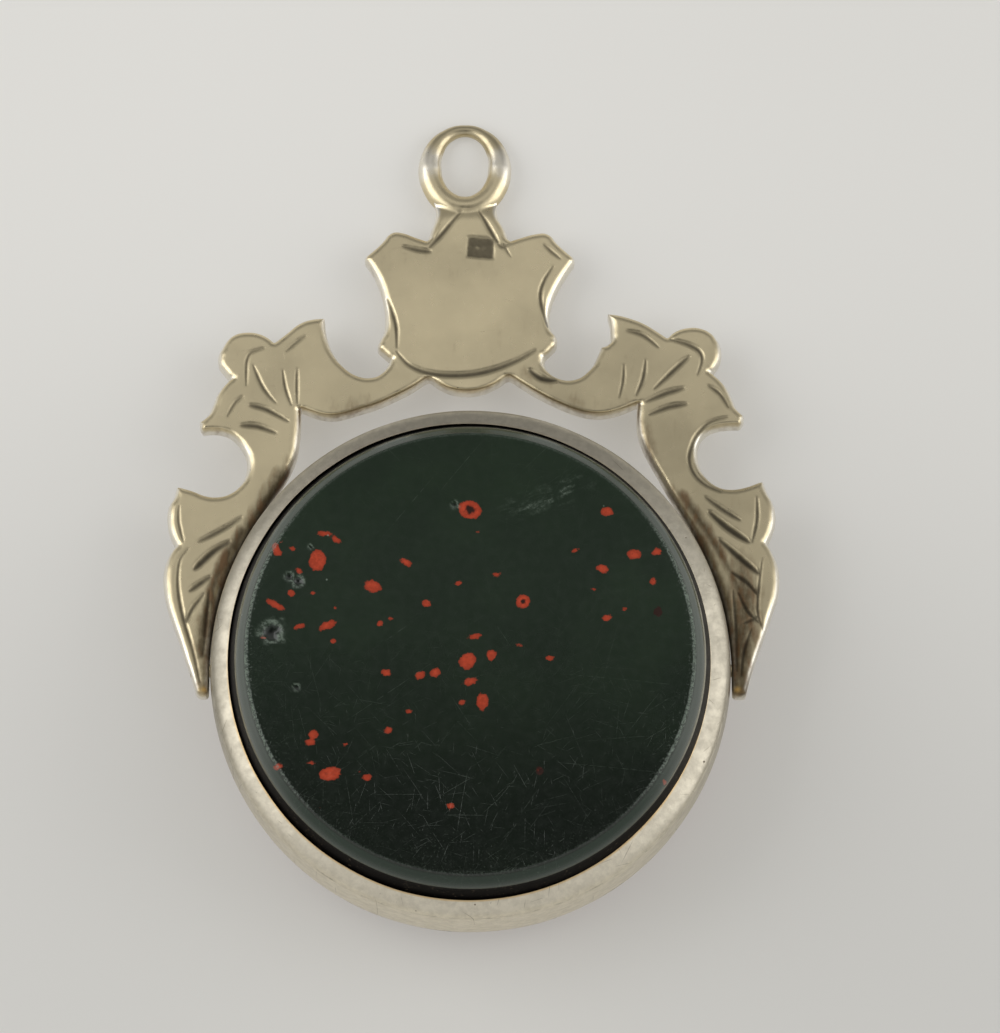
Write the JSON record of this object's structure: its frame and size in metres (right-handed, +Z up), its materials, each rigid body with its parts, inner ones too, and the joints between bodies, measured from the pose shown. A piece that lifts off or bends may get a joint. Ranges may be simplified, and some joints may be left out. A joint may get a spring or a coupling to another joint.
{
  "type": "swivel watch fob",
  "caption": "Silver swivel watch fob: a round drum with a stone set in each side turns in an engraved leaf-and-shield yoke with a ring for a chain.",
  "frame": {"origin": "centre of the lower stone's flat face, which lies on the table", "axes": "+X along the swivel's axis, +Y towards the ring, +Z up from the table"},
  "size_m": [0.029, 0.0395, 0.009],
  "materials": {
    "silver": "worn and lightly tarnished sterling silver",
    "bloodstone": "polished dark green stone with red spots, finely scratched",
    "carnelian": "polished orange-red translucent stone",
    "cement": "set plaster cement"
  },
  "bodies": {
    "drum": {"rim_band": "silver", "front_bezel": "silver", "back_bezel": "silver", "front_stone": "bloodstone", "back_stone": "carnelian", "front_bearer": "silver", "back_bearer": "silver", "cement_core": "cement", "left_pivot_bush": "silver", "right_pivot_bush": "silver"},
    "yoke": {"yoke_plate": "silver", "suspension_ring": "silver", "left_pivot_pin": "silver", "right_pivot_pin": "silver"}
  },
  "joints": [
    {"name": "swivel_turn", "type": "hinge", "parent": "drum", "child": "yoke", "pos_m": [0, 0, 0.0045], "axis": [1, 0, 0], "continuous": true}
  ]
}
